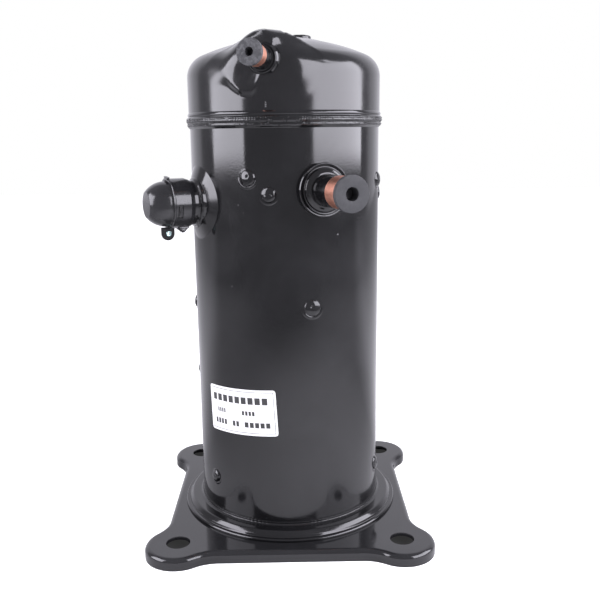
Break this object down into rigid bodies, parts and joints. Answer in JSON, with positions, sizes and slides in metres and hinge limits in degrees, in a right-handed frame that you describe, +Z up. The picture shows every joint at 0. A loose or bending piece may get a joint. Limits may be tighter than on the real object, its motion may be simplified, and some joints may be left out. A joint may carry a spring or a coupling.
{
  "type": "hermetic scroll compressor",
  "caption": "Hermetic scroll compressor: welded steel can on a four-eared base plate, with plugged suction and discharge stubs, a pull-off terminal cover and the scroll pump and motor inside.",
  "frame": {"origin": "on the axis of the shell, in the plane that the feet stand on", "axes": "+Z up along the shell, -Y to the front where both stubs point"},
  "size_m": [0.2464, 0.2549, 0.4314],
  "materials": {
    "painted_steel": "gloss black paint",
    "bare_steel": "bare machined steel",
    "cast_iron": "machined casting",
    "copper": "bare copper",
    "coil": "enamelled copper wire",
    "aluminium": "cast",
    "rubber": "matte moulded rubber",
    "bronze": "bearing bronze",
    "glass": "fused glass bead",
    "label": "white film",
    "moulded_plastic": "gloss moulding"
  },
  "bodies": {
    "housing": {"main_shell": "painted_steel", "top_cap": "painted_steel", "top_seam_weld": "painted_steel", "bottom_cap": "painted_steel", "base_weld": "painted_steel", "base_plate": "painted_steel", "cap_button": "painted_steel", "suction_collar": "painted_steel", "discharge_collar": "painted_steel", "terminal_fence": "painted_steel", "separator_plate": "bare_steel", "suction_baffle": "bare_steel", "terminal_header": "bare_steel", "frame_bolt_1": "bare_steel", "frame_bolt_2": "bare_steel", "frame_bolt_3": "bare_steel", "frame_bolt_4": "bare_steel", "check_valve_cage": "bare_steel", "stator_core": "bare_steel", "sump_magnet": "bare_steel", "fixed_scroll": "cast_iron", "main_frame": "cast_iron", "lower_frame": "cast_iron", "suction_stub": "copper", "discharge_stub": "copper", "terminal_pin_1": "copper", "terminal_pin_2": "copper", "terminal_pin_3": "copper", "upper_winding": "coil", "lower_winding": "coil", "main_bearing_bush": "bronze", "relief_valve_body": "bronze", "lower_bearing_bush": "bronze", "terminal_glass_1": "glass", "terminal_glass_2": "glass", "terminal_glass_3": "glass", "rating_label": "label", "motor_protector": "moulded_plastic"},
    "drive_shaft": {"crankshaft": "bare_steel", "slider_block": "bare_steel", "oil_pickup": "bare_steel", "rotor_core": "bare_steel", "upper_end_ring": "aluminium", "lower_end_ring": "aluminium", "upper_counterweight": "bronze", "lower_counterweight": "bronze"},
    "orbiting_set": {"orbiting_scroll": "cast_iron", "scroll_hub_bush": "bronze"},
    "oldham": {"oldham_ring": "aluminium"},
    "check_valve": {"check_valve_disc": "bare_steel"},
    "seal": {"floating_seal": "aluminium"},
    "relief_poppet": {"relief_valve_poppet": "bare_steel"},
    "cover": {"terminal_cover": "moulded_plastic", "cover_eyelet": "bare_steel", "cover_gasket": "rubber"},
    "suction_cap": {"suction_plug": "rubber"},
    "discharge_cap": {"discharge_plug": "rubber"}
  },
  "joints": [
    {"name": "crank_spin", "type": "hinge", "parent": "housing", "child": "drive_shaft", "pos_m": [0, 0, 0.15], "axis": [0, 0, 1], "continuous": true},
    {"name": "scroll_orbit", "type": "hinge", "parent": "drive_shaft", "child": "orbiting_set", "pos_m": [0, 0.00315, 0.304], "axis": [0, 0, 1], "continuous": true},
    {"name": "oldham_slide", "type": "slide", "parent": "housing", "child": "oldham", "axis": [1, 0, 0], "range_m": [-0.00315, 0.00315]},
    {"name": "check_valve_lift", "type": "slide", "parent": "housing", "child": "check_valve", "axis": [0, 0, 1], "range_m": [0, 0.004]},
    {"name": "seal_lift", "type": "slide", "parent": "housing", "child": "seal", "axis": [0, 0, 1], "range_m": [0, 0.0011]},
    {"name": "relief_lift", "type": "slide", "parent": "housing", "child": "relief_poppet", "axis": [0, 0, 1], "range_m": [0, 0.003]},
    {"name": "cover_pull_off", "type": "slide", "parent": "housing", "child": "cover", "axis": [-0.8949, -0.4462, 0], "range_m": [0, 0.05]},
    {"name": "suction_plug_pull", "type": "slide", "parent": "housing", "child": "suction_cap", "axis": [0.3665, -0.9304, 0], "range_m": [0, 0.03]},
    {"name": "discharge_plug_pull", "type": "slide", "parent": "housing", "child": "discharge_cap", "axis": [-0.2996, -0.9501, 0.0872], "range_m": [0, 0.03]}
  ],
  "couplings": [
    {"joint": "scroll_orbit", "follows": "crank_spin", "ratio": -1}
  ]
}
